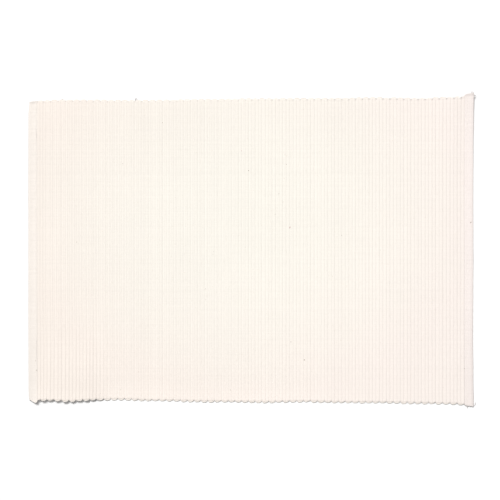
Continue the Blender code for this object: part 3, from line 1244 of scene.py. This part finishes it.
def smooth_path(points, steps):
    """A smooth curve through some points: Catmull-Rom pieces, with the ends held."""
    held = np.array([points[0], *points, points[-1]], float)
    t = (np.arange(steps) / steps)[:, None]
    path = []
    for a, b, c, d in zip(held, held[1:], held[2:], held[3:]):
        bend = 2 * a - 5 * b + 4 * c - d
        turn = 3 * b - a - 3 * c + d
        path.append(0.5 * (2 * b + (c - a) * t + bend * t**2 + turn * t**3))
    return np.concatenate([*path, held[-1:]])


def add_thread_ends(material):
    paths = np.array([smooth_path(end.points, THREAD_STEPS) for end in THREAD_ENDS])
    taper = np.linspace(1.0, THREAD_TAPER, paths.shape[1])
    radii = np.array([end.radius for end in THREAD_ENDS])[:, None] * taper
    return add_tubes("thread_ends", paths, round_section(radii), material)


class Finish:
    """A material's nodes: its shader, and short calls for the nodes that feed it."""

    def __init__(self, name):
        self.material = bpy.data.materials.new(name)
        self.material.use_nodes = True
        self.nodes = self.material.node_tree.nodes
        self.links = self.material.node_tree.links
        self.shader = self.nodes["Principled BSDF"]

    def feed(self, socket, value):
        if isinstance(value, bpy.types.NodeSocket):
            self.links.new(value, socket)
        else:
            socket.default_value = value

    def node(self, kind, result, **inputs):
        """A new node of a kind, with its inputs fed, and its output that is named result."""
        node = self.nodes.new(kind)
        for name, value in inputs.items():
            self.feed(node.inputs[name.replace("_", " ")], value)
        return node.outputs[result]

    def surface(self, **inputs):
        """Feeds the shader's own inputs."""
        for name, value in inputs.items():
            self.feed(self.shader.inputs[name.replace("_", " ")], value)

    def math(self, operation, *values):
        node = self.nodes.new("ShaderNodeMath")
        node.operation = operation
        for socket, value in zip(node.inputs, values):
            self.feed(socket, value)
        return node.outputs["Value"]

    def plus(self, one, other):
        return self.math("ADD", one, other)

    def minus(self, one, other):
        return self.math("SUBTRACT", one, other)

    def times(self, one, other):
        return self.math("MULTIPLY", one, other)

    def off_centre(self, value):
        """How far a value from 0 to 1 is from its middle, as a share."""
        return self.math("ABSOLUTE", self.spread(value, -1.0, 1.0))

    def spread(self, value, least, most):
        """A value from 0 to 1, spread over least to most."""
        return self.math("MULTIPLY_ADD", value, most - least, least)

    def parts(self, vector):
        """A vector's X and Y."""
        node = self.nodes.new("ShaderNodeSeparateXYZ")
        self.links.new(vector, node.inputs["Vector"])
        return node.outputs["X"], node.outputs["Y"]

    def uv(self, name):
        """A UV map's two coordinates."""
        node = self.nodes.new("ShaderNodeUVMap")
        node.uv_map = name
        return self.parts(node.outputs["UV"])

    def share(self, name):
        """A share that the mesh's points hold."""
        node = self.nodes.new("ShaderNodeAttribute")
        node.attribute_name = name
        return node.outputs["Fac"]

    def place(self):
        """The place on the object, in metres."""
        return self.nodes.new("ShaderNodeTexCoord").outputs["Object"]

    def vector(self, x, y, z=0.0):
        return self.node("ShaderNodeCombineXYZ", "Vector", X=x, Y=y, Z=z)

    def noise(self, vector, scale, detail=2.0):
        return self.node("ShaderNodeTexNoise", "Fac", Vector=vector, Scale=scale, Detail=detail)

    def chance(self, vector):
        """A random value from 0 to 1 for each whole-numbered place."""
        return self.node("ShaderNodeTexWhiteNoise", "Value", Vector=vector)

    def mix(self, share, one, other):
        node = self.nodes.new("ShaderNodeMix")
        node.data_type = "RGBA"
        self.feed(node.inputs["Factor"], share)
        colours = [socket for socket in node.inputs if socket.type == "RGBA"]
        self.feed(colours[0], one)
        self.feed(colours[1], other)
        return next(socket for socket in node.outputs if socket.type == "RGBA")

    def toned(self, colour, tone):
        """A colour made lighter or darker by a tone round 1."""
        return self.node("ShaderNodeHueSaturation", "Color", Color=colour, Value=tone)

    def bump(self, height, distance):
        self.surface(Normal=self.node("ShaderNodeBump", "Normal", Height=height, Distance=distance))

    def soft_cotton(self, colour, tone, fuzz, sheen):
        """What the cotton's yarns share: hardly any gloss, and a soft sheen from their fuzz."""
        self.surface(
            Base_Color=self.toned(colour, tone),
            Roughness=self.spread(fuzz, *COTTON_ROUGHNESS),
            Specular_IOR_Level=COTTON_SPECULAR,
            Sheen_Weight=sheen,
            Sheen_Roughness=SHEEN_ROUGHNESS,
        )


def weave_dives(finish, across):
    """How far the floats dive: at the valleys and, shallower, where a rib's two yarns meet."""
    parted = finish.share("parted")
    off_crown = finish.off_centre(across)
    off_valley = finish.minus(1.0, off_crown)
    valley_share = finish.spread(parted, EVEN_DIVE, 1.0)
    middle_share = finish.math("MAXIMUM", finish.spread(parted, EVEN_DIVE, PARTED_MIDDLE), 0.0)
    valley = finish.times(finish.math("POWER", off_crown, DIVE_SHARPNESS), valley_share)
    middle = finish.times(finish.math("POWER", off_valley, DIVE_SHARPNESS), middle_share)
    return valley, middle


def float_height(finish, across, along, dives):
    """A float's height: round across the yarn, with its plies' twist, and lower where it dives."""
    round_share = finish.math("POWER", finish.off_centre(along), FLOAT_SQUARENESS)
    turns = finish.math("MULTIPLY_ADD", across, FLOAT_TWISTS, finish.times(along, FLOAT_LEAN))
    twist = finish.math("SINE", finish.times(turns, 2.0 * math.pi))
    plies = finish.math("MULTIPLY_ADD", twist, FLOAT_PLIES, finish.minus(1.0, round_share))
    up = finish.minus(1.0, finish.plus(*dives))
    return finish.times(plies, finish.spread(up, DIVE_HEIGHT, 1.0))


def cloth_colour(finish, place, hems):
    """The cloth's cream: paler in its middle and darker and warmer towards its rim, a painted
    fall-off of light, with fine tan specks.
    """
    x, y = finish.parts(place)
    off_x = finish.math("DIVIDE", finish.minus(x, PALE_X * MM), RIM_X * MM)
    off_y = finish.math("DIVIDE", finish.minus(y, PALE_Y * MM), RIM_Y * MM)
    squares = finish.plus(finish.times(off_x, off_x), finish.times(off_y, off_y))
    rim = finish.math("MINIMUM", squares, RIM_WARMEST)
    uneven = finish.spread(finish.noise(place, CLOUD_SCALE * 2.0), *RIM_UNEVEN)
    rightness = finish.math("MULTIPLY_ADD", x, 1.0 / (2.0 * HALF_LENGTH * MM), 0.5)
    warm = finish.mix(rightness, CREAM_LEFT, CREAM_RIGHT)
    # Painted fall-off of light: the cream darkens and warms towards the rim.
    cream = finish.mix(finish.times(rim, uneven), CREAM_MIDDLE, warm)
    cream = finish.mix(hems, cream, finish.mix(rightness, HEM_LEFT, HEM_RIGHT))
    speck = finish.math("GREATER_THAN", finish.noise(place, SPECK_SCALE, 1.0), SPECK_LEVEL)
    return finish.mix(finish.times(speck, SPECK_SHARE), cream, FLECK_TAN)


def woven_cotton():
    """The warp-faced weave: short floats of the warp lie over each rib, like bricks in a wall."""
    finish = Finish("woven_cotton")
    place = finish.place()
    hems = finish.share("hems")
    picks, warps = finish.uv("weave")
    rib = finish.math("FLOOR", picks)
    across = finish.math("FRACT", picks)
    offset = finish.math("FLOORED_MODULO", rib, 2.0)
    row = finish.math("MULTIPLY_ADD", offset, 0.5, warps)
    dives = weave_dives(finish, across)
    floats = float_height(finish, across, finish.math("FRACT", row), dives)

    # The relief: the floats, their fuzz, and soft puckers in the hems.
    fuzz = finish.noise(place, FUZZ_SCALE, FUZZ_DETAIL)
    height = finish.math("MULTIPLY_ADD", fuzz, WEAVE_FUZZ, floats)
    scaled = [finish.times(way, scale) for way, scale in zip((picks, warps), PUCKER_SCALE)]
    puckers = finish.times(finish.noise(finish.vector(*scaled), 1.0, 1.0), hems)
    height = finish.math("MULTIPLY_ADD", puckers, PUCKER_HEIGHT, height)
    finish.bump(height, WEAVE_RELIEF * MM)

    # The tone: each yarn and each rib differs a little, yarns are uneven along their length,
    # painted shade darkens the gaps between floats and ribs, and the mesh's painted light and shade
    # is taken off. A rib's chance is read between the yarns' rows.
    streak_place = finish.vector(finish.times(picks, STREAK_SCALE), row)
    chances = (
        (finish.chance(finish.vector(finish.math("FLOOR", row), offset)), YARN_TONE),
        (finish.chance(finish.vector(rib, 0.5)), RIB_TONE),
        (finish.noise(streak_place, 1.0, 1.0), STREAK_TONE),
        (finish.noise(place, CLOUD_SCALE), CLOUD_TONE),
    )
    tone = finish.spread(floats, GAP_SHADE, 1.0)
    for chance, most in chances:
        tone = finish.plus(tone, finish.spread(chance, -most, most))
    # Painted shade along the valleys and the ribs' middles, where the floats dive.
    for dive, darkest in zip(dives, (VALLEY_SHADE, MIDDLE_SHADE)):
        tone = finish.minus(tone, finish.times(dive, darkest))
    tone = finish.minus(tone, finish.share("shade"))
    finish.soft_cotton(cloth_colour(finish, place, hems), tone, fuzz, WEAVE_SHEEN)
    return finish.material


def spun_yarn(name, colour, twist_pitch, sheen):
    """A twisted yarn, for tubes whose map gives the length along them and the share round them."""
    finish = Finish(name)
    length, round_share = finish.uv("thread")
    turns = finish.math("MULTIPLY_ADD", length, 1.0 / twist_pitch, round_share)
    ply = finish.math("ABSOLUTE", finish.math("SINE", finish.times(turns, 2.0 * math.pi)))
    fuzz = finish.noise(finish.place(), FUZZ_SCALE, FUZZ_DETAIL)
    finish.bump(finish.math("MULTIPLY_ADD", fuzz, YARN_FUZZ, ply), YARN_RELIEF * MM)
    fuzz_tone = finish.spread(fuzz, -YARN_FUZZ_TONE, YARN_FUZZ_TONE)
    # Painted shade in the grooves between the plies.
    tone = finish.plus(finish.spread(ply, YARN_GROOVE_SHADE, 1.0), fuzz_tone)
    finish.soft_cotton(colour, tone, fuzz, sheen)
    return finish.material


def seed_husk(name, colour):
    """A dry, mottled bit of husk."""
    finish = Finish(name)
    mottle = finish.noise(finish.place(), FUZZ_SCALE, FUZZ_DETAIL)
    mottled = finish.toned(colour, finish.spread(mottle, *HUSK_TONE))
    finish.surface(Base_Color=mottled, Roughness=finish.spread(mottle, *HUSK_ROUGHNESS))
    finish.bump(mottle, HUSK_RELIEF * MM)
    return finish.material


def add_table():
    finish = Finish("table_white")
    finish.surface(Base_Color=TABLE_WHITE, Roughness=TABLE_ROUGHNESS)
    signs = ((-1.0, -1.0), (1.0, -1.0), (1.0, 1.0), (-1.0, 1.0))
    corners = [(x * TABLE_SIZE / 2.0, y * TABLE_SIZE / 2.0, -TABLE_GAP) for x, y in signs]
    table = mesh_object("table", np.array(corners), [(0, 1, 2, 3)], finish.material)


def add_light():
    """Soft light from high up beyond the mat, a little from the left, and a pale sky all round."""
    sun = bpy.data.lights.new("sun", "SUN")
    sun.energy = SUN_STRENGTH
    sun.angle = SUN_ANGLE
    lamp = add_object("sun", sun)
    level = math.cos(SUN_ELEVATION)
    x, y = -math.sin(SUN_AZIMUTH) * level, math.cos(SUN_AZIMUTH) * level
    towards = Vector((x, y, math.sin(SUN_ELEVATION)))
    lamp.rotation_euler = towards.to_track_quat("Z", "Y").to_euler()
    world = bpy.data.worlds.new("pale_sky")
    world.use_nodes = True
    sky = world.node_tree.nodes["Background"]
    sky.inputs["Color"].default_value = (1.0, 1.0, 1.0, 1.0)
    sky.inputs["Strength"].default_value = SKY_STRENGTH
    bpy.context.scene.world = world
    bpy.context.scene.view_settings.view_transform = "Standard"


def add_camera():
    """A long lens straight above the mat."""
    data = bpy.data.cameras.new("camera")
    data.lens = CAMERA_LENS
    data.sensor_width = CAMERA_SENSOR
    data.clip_end = CAMERA_CLIP_END
    camera = add_object("camera", data)
    height = FRAME_WIDTH * CAMERA_LENS / CAMERA_SENSOR + CROWN_THICKNESS
    camera.location = Vector((CAMERA_X, CAMERA_Y, height)) * MM
    bpy.context.scene.camera = camera


def dress_mat():
    """The mat and what is on it, attached to one body in place of the part's own mesh."""
    cloth = weave_cloth()
    mat = add_mat(cloth, woven_cotton())
    sewing = spun_yarn("sewing_thread", THREAD_CREAM, twist_pitch=0.5, sheen=0.2)
    weft = spun_yarn("soft_weft", WEFT_CREAM_SHADED, twist_pitch=1.5, sheen=0.25)
    stray = spun_yarn("stray_fuzz_shaded", STRAY_CREAM_SHADED, twist_pitch=0.8, sheen=0.4)
    yarns = [
        add_weft_loops(cloth, weft),
        add_hem_stitches(cloth, sewing),
        add_thread_ends(stray),
    ]
    husks = [
        add_husks(cloth, "seed_husks", False, seed_husk("brown_husk", HUSK_BROWN)),
        add_husks(cloth, "red_husks", True, seed_husk("red_husk", HUSK_RED)),
    ]
    extras = yarns + husks
    for piece in (mat, *extras):
        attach(piece, "root")
    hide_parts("mat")


add_camera()
add_light()
add_table()
dress_mat()
